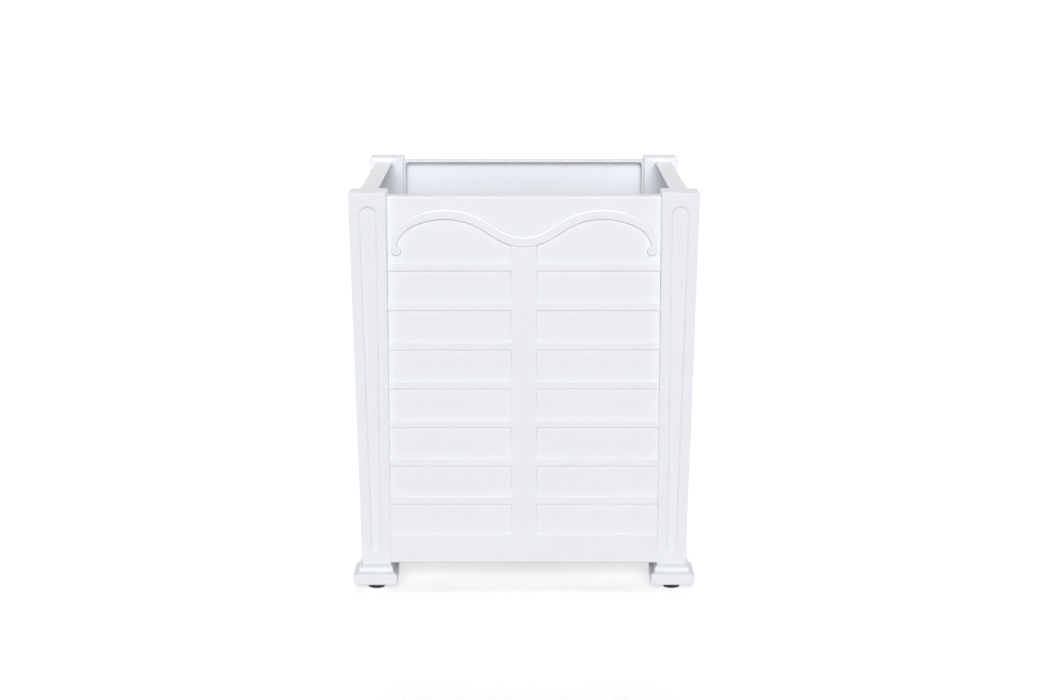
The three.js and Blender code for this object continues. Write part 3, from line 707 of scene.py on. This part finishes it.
def end_rows():
    """(depth, height, outward) round the panel's end where its rounded edge starts, from the top."""
    rows = []
    for a in quarter(5)[::-1]:
        rows.append((FACE - PANEL_EDGE * (1 - cos(a)), PANEL_TOP - PANEL_EDGE * (1 - sin(a)),
                     (cos(a), sin(a))))
    ahead = (1, 0)
    rows.append((FACE, PANEL_TOP - HEAD_FOOT_DROP, ahead))
    rows.append((FIELD, PANEL_TOP - HEAD_FOOT_DROP - HEAD_FOOT_RUN, ahead))
    for i in range(SLATS):
        top = FIRST_SLAT - i * SLAT_PITCH
        rows += [(FIELD + level, top - inset, ahead) for inset, level in RELIEF_STEPS]
        rows += [(FIELD + level, top - SLAT_HEIGHT + inset, ahead) for inset, level in reversed(UNDER_STEPS)]
    rows += [(FIELD + level, RAIL_TOP - inset, ahead) for inset, level in RELIEF_STEPS]
    for a in quarter(5):
        rows.append((FACE - PANEL_EDGE * (1 - cos(a)), PANEL_BOTTOM + PANEL_EDGE * (1 - sin(a)),
                     (cos(a), -sin(a))))
    for a in quarter(3):
        rows.append((SIDE_BACK + RIM_EDGE * (1 - sin(a)), PANEL_BOTTOM + RIM_EDGE * (1 - cos(a)),
                     (-sin(a), -cos(a))))
    behind = (-1, 0)
    rows += [(SIDE_BACK, height, behind)
             for height in (POCKET_BOTTOM + POCKET_RADIUS, POCKET_TOP - POCKET_RADIUS)]
    for a in quarter(3)[::-1]:
        rows.append((SIDE_BACK + RIM_EDGE * (1 - sin(a)), PANEL_TOP - RIM_EDGE * (1 - cos(a)),
                     (-sin(a), cos(a))))
    return rows


def panel_shell():
    shell = Shell()
    upper, lower = pocket_ring()
    mouth_x = [c.x + n.x * (POCKET_RADIUS + RIM_EDGE) for c, n in upper]
    right = mouth_x + [FACE_HALF]
    columns = [-x for x in right[::-1]] + right
    panel_front_faces(shell, columns)

    # over the top and bottom edges to the rim behind
    for z_edge, way, ring in ((PANEL_TOP, 1, upper), (PANEL_BOTTOM, -1, lower[::-1])):
        rows = [[(x, -(FACE - PANEL_EDGE * (1 - cos(a))), z_edge - way * PANEL_EDGE * (1 - sin(a)))
                 for x in columns] for a in quarter(5)]
        shell.skin(rows)
        back = [[(x, -(flange_back(x) + RIM_EDGE * (1 - sin(a))), z_edge - way * RIM_EDGE * (1 - cos(a)))
                 for x in columns] for a in quarter(3)]
        shell.strip(rows[-1], back[0], flat=True)
        shell.skin(back)
        mouth = [(x, -flange_back(x), c.y + n.y * (POCKET_RADIUS + RIM_EDGE))
                 for x, (c, n) in zip(mouth_x, ring)]
        full = [(-x, y, z) for x, y, z in mouth[::-1]] + mouth
        shell.strip(back[-1][1:-1], full)
        edge = back[-1][-1]
        level = ring[-1][0].y
        corner = [edge, (FACE_HALF, -SIDE_BACK, level), (mouth_x[-1], -SIDE_BACK, level),
                  (mouth_x[-1], -SIDE_BACK, edge[2])]
        both(shell, lambda side: shell.face(side([Vector(p) for p in corner]), flat=True))
    rim = [Vector((x, -SIDE_BACK, z)) for x, z in (
        (mouth_x[-1], upper[-1][0].y), (FACE_HALF, upper[-1][0].y),
        (FACE_HALF, lower[0][0].y), (mouth_x[-1], lower[0][0].y))]
    both(shell, lambda side: shell.face(side(rim), flat=True))

    # tray
    right_ring = upper + lower
    def tray_row(inset, depth):
        row = [Vector((c.x + n.x * (POCKET_RADIUS - inset), -depth(c.x + n.x * (POCKET_RADIUS + RIM_EDGE)),
                       c.y + n.y * (POCKET_RADIUS - inset))) for c, n in right_ring]
        return row + flip(row)[::-1]
    rows = [tray_row(-RIM_EDGE * (1 - sin(a)), lambda x: flange_back(x) + RIM_EDGE * (1 - cos(a)))
            for a in quarter(3)]
    rows += [tray_row(POCKET_FILLET * (1 - cos(a)), lambda x: POCKET_FLOOR - POCKET_FILLET * (1 - sin(a)))
             for a in quarter(5)]
    shell.skin(rows, closed=True)
    shell.cap(rows[-1])

    # ends
    loop = end_rows()
    rows = [[Vector((FACE_HALF + PANEL_END_EDGE * sin(a), -(f - PANEL_END_EDGE * (1 - cos(a)) * nf),
                     z - PANEL_END_EDGE * (1 - cos(a)) * nz)) for f, z, (nf, nz) in loop] for a in quarter(4)]
    both(shell, lambda side: shell.skin([side(row) for row in rows], closed=True))
    both(shell, lambda side: shell.cap(side(rows[-1])))
    return shell


# ------------------------------------------------------------------ levelling feet and screws

def pad_shell():
    shell = Shell()
    radius, top = (PAD_HIGH.x - PAD_LOW.x) / 2, PAD_HIGH.z
    inner = radius - PAD_GROOVE
    path = [(0, 0), (radius, 0), (radius, PAD_GROOVE_LOW), (inner, PAD_GROOVE_LOW + PAD_GROOVE),
            (inner, PAD_GROOVE_HIGH), (radius, PAD_GROOVE_HIGH + PAD_GROOVE), (radius, top),
            (PAD_SOCKET, top), (PAD_SOCKET, PAD_SOCKET_FLOOR), (0, PAD_SOCKET_FLOOR)]
    edges = [PAD_EDGE, *[PAD_GROOVE_EDGE] * 4, PAD_EDGE, *PAD_SOCKET_EDGES]
    turn_profile(shell, eased(path, edges), 64)
    return shell


def stem_shell():
    shell = Shell()
    tip, start = STEM_FOOT + STEM_LENGTH, COLLAR_HIGH - STEM_OVERLAP
    path = [(0, STEM_FOOT), (STEM_RADIUS, STEM_FOOT), (STEM_RADIUS, start + 0.1), (0, start + 0.1)]
    turn_profile(shell, eased(path, [0.5, 0]), 48)

    # the thread, a right-hand helix as far as the insert needs it, and the plain shank above it
    shell.part()
    rings_per_turn, sides = 8, 24
    threaded = round(THREAD_REACH / THREAD_PITCH)
    rows = []
    for i in range(threaded * rings_per_turn + 1):
        row = []
        for k in range(sides):
            phase = (i / rings_per_turn - k / sides) % 1
            groove = min(max(THREAD_FLOOR - abs(phase - 0.5) * THREAD_FLANK, 0), 1)
            radius = STEM_RADIUS - THREAD_DEPTH * groove
            angle = 2 * pi * k / sides
            row.append((radius * cos(angle), radius * sin(angle), start + i * THREAD_PITCH / rings_per_turn))
        rows.append(row)
    above = rows[-1][0][2] + 0.5
    rows += [circle(STEM_RADIUS, above, sides), circle(STEM_RADIUS, tip - STEM_TIP, sides),
             circle(STEM_RADIUS - STEM_TIP, tip, sides)]
    shell.skin(rows, closed=True)
    shell.face(rows[0])
    shell.face(rows[-1], flat=True)

    flats = COLLAR_FLATS / 2

    shell.part()

    def hexagon(reach, z):
        radius = reach / cos(pi / 6)
        corners = [(radius * cos(pi / 3 * i), radius * sin(pi / 3 * i)) for i in range(6)]
        ring = []
        for (x0, y0), (x1, y1) in zip(corners, corners[1:] + corners[:1]):
            ring += [(x0 + (x1 - x0) * k / 6, y0 + (y1 - y0) * k / 6, z) for k in range(6)]
        return ring

    def chamfered(z, rise):
        """The collar's end: a round land, then a cone that cuts the corners."""
        radius = flats * COLLAR_LAND
        land, edge = [], []
        for x, y, _ in hexagon(flats, z):
            away = sqrt(x * x + y * y)
            land.append((radius * x / away, radius * y / away, z))
            edge.append((x, y, z - rise * (away - radius) * COLLAR_SLOPE))
        return land, edge

    land_low, edge_low = chamfered(COLLAR_LOW, -1)
    land_high, edge_high = chamfered(COLLAR_HIGH, 1)
    shell.cap(land_low)
    shell.strip(land_low, edge_low, closed=True, flat=True)
    shell.strip(edge_low, edge_high, closed=True, flat=True)
    shell.strip(edge_high, land_high, closed=True, flat=True)
    shell.cap(land_high)
    return shell


def insert_shell():
    shell = Shell()
    low = PLINTH_LOW.z
    path = [(INSERT_BORE, low + 1), (INSERT_BORE, low), (INSERT_FLANGE, low),
            (INSERT_FLANGE, low + INSERT_FLANGE_HEIGHT), (INSERT_RADIUS, low + INSERT_FLANGE_HEIGHT),
            (INSERT_RADIUS, low + INSERT_LENGTH), (INSERT_BORE, low + INSERT_LENGTH), (INSERT_BORE, low + 1)]
    turn_profile(shell, eased(path, INSERT_EDGES), 64)
    return shell


def screw_shell():
    """Domed screw along +X with a hexagon socket. Its head's seat is at x = 0."""
    shell = Shell()
    sides = 36
    point = SCREW_LENGTH
    mouth_radius = SCREW_SOCKET + SCREW_LIP
    path = [(mouth_radius, -SCREW_HEAD_HEIGHT), SCREW_DOME, (SCREW_HEAD, -SCREW_RIM), (SCREW_HEAD, 0),
            (SCREW_RADIUS, 0), (SCREW_RADIUS, point - SCREW_RADIUS), (SCREW_TIP, point)]
    turn_profile(shell, eased(path, SCREW_EDGES), sides)
    shell.cap(circle(SCREW_TIP, point, sides))
    lip = circle(mouth_radius, -SCREW_HEAD_HEIGHT, sides)

    def socket(z):
        ring = []
        for x, y, _ in lip:
            angle = (Vector((x, y)).angle_signed(Vector((1, 0))) % (pi / 3)) - pi / 6
            scale = SCREW_SOCKET / cos(angle) / sqrt(x * x + y * y)
            ring.append((x * scale, y * scale, z))
        return ring
    mouth, floor = socket(-SCREW_HEAD_HEIGHT), socket(-SCREW_HEAD_HEIGHT + SCREW_SOCKET_DEPTH)
    shell.strip(lip, mouth, closed=True, flat=True)
    shell.strip(mouth, floor, closed=True, flat=True)
    shell.face(floor, flat=True)
    shell.points = [Vector((p.z, p.y, -p.x)) for p in shell.points]
    return shell


# ------------------------------------------------------------------ base shelf

def shelf_shell():
    shell = Shell()
    top, edge = SHELF_HIGH.z, SHELF_EDGE

    def outline(inset, z):
        reach, half = SHELF_HIGH.x - inset, SHELF_HALF - inset
        quadrant = [Vector((reach, -half)), Vector((reach, half)), Vector((half, half))]
        return [Vector((*(Matrix.Rotation(pi / 2 * turn, 2) @ p), z)) for turn in range(4) for p in quadrant]

    rise = [(edge * (1 - sin(a)), SHELF_BOTTOM + edge * (1 - cos(a))) for a in quarter(3)]
    rise += [(edge * (1 - cos(a)), top - edge * (1 - sin(a))) for a in quarter(3)]
    rows = [outline(inset, z) for inset, z in rise]
    shell.skin(rows, closed=True)
    places = [(0, 0)] + [(x, y) for x in (-RIB_PITCH, RIB_PITCH) for y in (-RIB_PITCH, RIB_PITCH)]
    lower, upper = [], []
    for place in places:
        rings = [circle(DRAIN_RADIUS + inset, z, 48, place) for inset, z in rise]
        shell.skin(rings, closed=True)
        lower.append(rings[0])
        upper.append(rings[-1])
    shell.cap(rows[0], *lower)
    shell.cap(rows[-1], *upper)

    for i in range(RIBS):
        middle = (i - (RIBS - 1) / 2) * RIB_PITCH
        low, high = (-RIB_HALF, middle - RIB_WIDTH / 2), (RIB_HALF, middle + RIB_WIDTH / 2)
        rings = []
        for a in quarter(3):
            inset = RIB_EDGE * (1 - sin(a))
            rings.append(rounded_ring((low[0] + inset, low[1] + inset), (high[0] - inset, high[1] - inset),
                                      RIB_EDGE, SHELF_LOW.z + RIB_EDGE * (1 - cos(a)), 3))
        rings.append(rounded_ring(low, high, RIB_EDGE, SHELF_BOTTOM + RIB_OVERLAP, 3))
        shell.skin(rings, closed=True)
        shell.cap(rings[0])
        shell.cap(rings[-1])
    return shell


# ------------------------------------------------------------------ putting the pieces in place

def piece(name, mesh, material, body, replaced, turn=0, shift=(0, 0, 0)):
    made = bpy.data.objects.new(name, mesh)
    if not mesh.materials:
        mesh.materials.append(material)
    made.matrix_world = Matrix.Rotation(turn * pi / 2, 4, "Z") @ Matrix.Translation(Vector(shift) * MM)
    bpy.context.scene.collection.objects.link(made)
    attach(made, body)
    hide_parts(replaced)
    return made


post, plinth = post_shell().mesh("post"), plinth_shell().mesh("plinth")
insert, stem, pad = insert_shell().mesh("insert"), stem_shell().mesh("stem"), pad_shell().mesh("pad")
for turn, place in enumerate(("rear_right", "rear_left", "front_left", "front_right")):
    foot = (FOOT, FOOT, 0)
    piece(f"post_moulding_{place}", post, WHITE, "planter", f"post_{place}", turn)
    piece(f"plinth_moulding_{place}", plinth, WHITE, "planter", f"plinth_{place}", turn)
    piece(f"threaded_insert_{place}", insert, BRASS, "planter",
          f"foot_insert_{place}", turn, foot)
    piece(f"threaded_stem_{place}", stem, STEEL, f"stem_{place}",
          f"foot_stem_{place}", turn, foot)
    piece(f"glide_pad_{place}", pad, RUBBER, f"pad_{place}", f"foot_pad_{place}", turn, foot)

panel, screw = panel_shell().mesh("panel"), screw_shell().mesh("screw")
for turn, place in enumerate(("front", "right", "rear", "left")):
    piece(f"relief_panel_{place}", panel, WHITE, "planter", f"panel_{place}", turn)
    for end, sign in (("left", -1), ("right", 1)):
        for level in ("lower", "upper"):
            solid = f"screw_{place}_{end}_{level}"
            low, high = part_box(solid)
            middle = (low + high) / 2 / MM
            seat = Matrix.Rotation(-turn * pi / 2, 3, "Z") @ middle
            made = piece(f"panel_{solid}", screw, SCREW, "planter", solid, turn,
                         (sign * (POCKET_HALF - SCREW_SEAT), seat.y, seat.z))
            if sign < 0:
                made.matrix_world = made.matrix_world @ Matrix.Rotation(pi, 4, "Z")

piece("drained_shelf", shelf_shell().mesh("shelf"), SHELF, "planter", "base_shelf")


# ------------------------------------------------------------------ camera

PHOTO_WIDTH = 1050                # pixels
FOCAL_LENGTH = 2118.51            # in the same pixels
SENSOR = 36                       # millimetres
CAMERA_PLACE = (-0.00315, -3.95, 1.18948)
LOOK_DOWN, LOOK_LEFT = 11.55, -0.0768   # degrees

camera_data = bpy.data.cameras.new("camera")
camera_data.sensor_width = SENSOR
camera_data.lens = SENSOR * FOCAL_LENGTH / PHOTO_WIDTH
camera_data.clip_end = 200
camera = bpy.data.objects.new("camera", camera_data)
camera.location = CAMERA_PLACE
camera.rotation_euler = (radians(90 - LOOK_DOWN), 0, radians(LOOK_LEFT))
bpy.context.scene.collection.objects.link(camera)
bpy.context.scene.camera = camera


# ------------------------------------------------------------------ floor, world and lamps

def shown_rays(tree):
    """1 for rays that the camera, a reflection or glass looks along, and 0 for lighting."""
    light = node(tree, "ShaderNodeLightPath").outputs
    shown = light["Is Camera Ray"]
    for other in ("Is Glossy Ray", "Is Transmission Ray"):
        shown = node(tree, "ShaderNodeMath", {0: shown, 1: light[other]}, operation="MAXIMUM").outputs[0]
    return shown


FLOOR_ALBEDO = 0.97               # as it is seen
FLOOR_BOUNCE = 0.45               # as it lights the planter
FLOOR_GLOW = 0.53                 # added where it is seen
FLOOR_REACH = 60.0                # metres
floor_mesh = bpy.data.meshes.new("floor")
floor_corners = [(x * FLOOR_REACH, y * FLOOR_REACH, 0) for x, y in ((-1, -1), (1, -1), (1, 1), (-1, 1))]
floor_mesh.from_pydata(floor_corners, [], [(0, 1, 2, 3)])
floor = bpy.data.objects.new("floor", floor_mesh)
bpy.context.scene.collection.objects.link(floor)
paint = bpy.data.materials.new("floor")
paint.use_nodes = True
tree = paint.node_tree
tree.nodes.clear()
shown = shown_rays(tree)
pigment = ramp(tree, shown, (FLOOR_BOUNCE,) * 3, (FLOOR_ALBEDO,) * 3)
diffuse = node(tree, "ShaderNodeBsdfDiffuse", {"Color": pigment})
seen = node(tree, "ShaderNodeMath", {0: shown, 1: FLOOR_GLOW}, operation="MULTIPLY")
glow = node(tree, "ShaderNodeEmission", {"Color": (1, 1, 1, 1), "Strength": seen.outputs[0]})
both_shaders = node(tree, "ShaderNodeAddShader")
tree.links.new(diffuse.outputs[0], both_shaders.inputs[0])
tree.links.new(glow.outputs[0], both_shaders.inputs[1])
tree.links.new(both_shaders.outputs[0], node(tree, "ShaderNodeOutputMaterial").inputs["Surface"])
floor_mesh.materials.append(paint)

SKY = (0.04, 0.045, 0.05)         # a faint band all round, brightest about 30 degrees up
world = bpy.data.worlds.new("studio")
world.use_nodes = True
tree = world.node_tree
tree.nodes.clear()
upwards = node(tree, "ShaderNodeSeparateXYZ", {0: node(tree, "ShaderNodeTexCoord").outputs["Generated"]})
rise = node(tree, "ShaderNodeMapRange", {"Value": upwards.outputs[2], "From Min": 0.0, "From Max": 0.45},
            interpolation_type="SMOOTHSTEP")
fall = node(tree, "ShaderNodeMapRange", {"Value": upwards.outputs[2], "From Min": 0.95, "From Max": 0.5},
            interpolation_type="SMOOTHSTEP")
band = node(tree, "ShaderNodeMath", {0: rise.outputs[0], 1: fall.outputs[0]}, operation="MULTIPLY")
sky = ramp(tree, band.outputs[0], (0, 0, 0), SKY)
white = node(tree, "ShaderNodeMix", {0: shown_rays(tree), 6: sky, 7: (1, 1, 1, 1)}, data_type="RGBA")
back = node(tree, "ShaderNodeBackground", {"Color": white.outputs[2], "Strength": 1.0})
tree.links.new(back.outputs[0], node(tree, "ShaderNodeOutputWorld").inputs["Surface"])
bpy.context.scene.world = world


def lamp(name, azimuth, elevation, width, strength, colour=(1.0, 1.0, 1.0)):
    """Distant lamp, `width` degrees across. Azimuth 0 is in front, and grows to the right."""
    data = bpy.data.lights.new(name, "SUN")
    data.angle = radians(width)
    data.energy = strength
    data.color = colour
    made = bpy.data.objects.new(name, data)
    a, e = radians(azimuth), radians(elevation)
    way = Vector((sin(a) * cos(e), -cos(a) * cos(e), sin(e)))
    made.rotation_euler = way.to_track_quat("Z", "Y").to_euler()
    bpy.context.scene.collection.objects.link(made)


lamp("key", azimuth=0, elevation=18, width=30, strength=2.66, colour=(0.985, 0.99, 1.0))
lamp("left", azimuth=-95, elevation=7, width=30, strength=1.3)
lamp("right", azimuth=95, elevation=7, width=30, strength=1.3)
lamp("rear", azimuth=180, elevation=36, width=20, strength=0.85)

scene = bpy.context.scene
scene.view_settings.view_transform = "Standard"
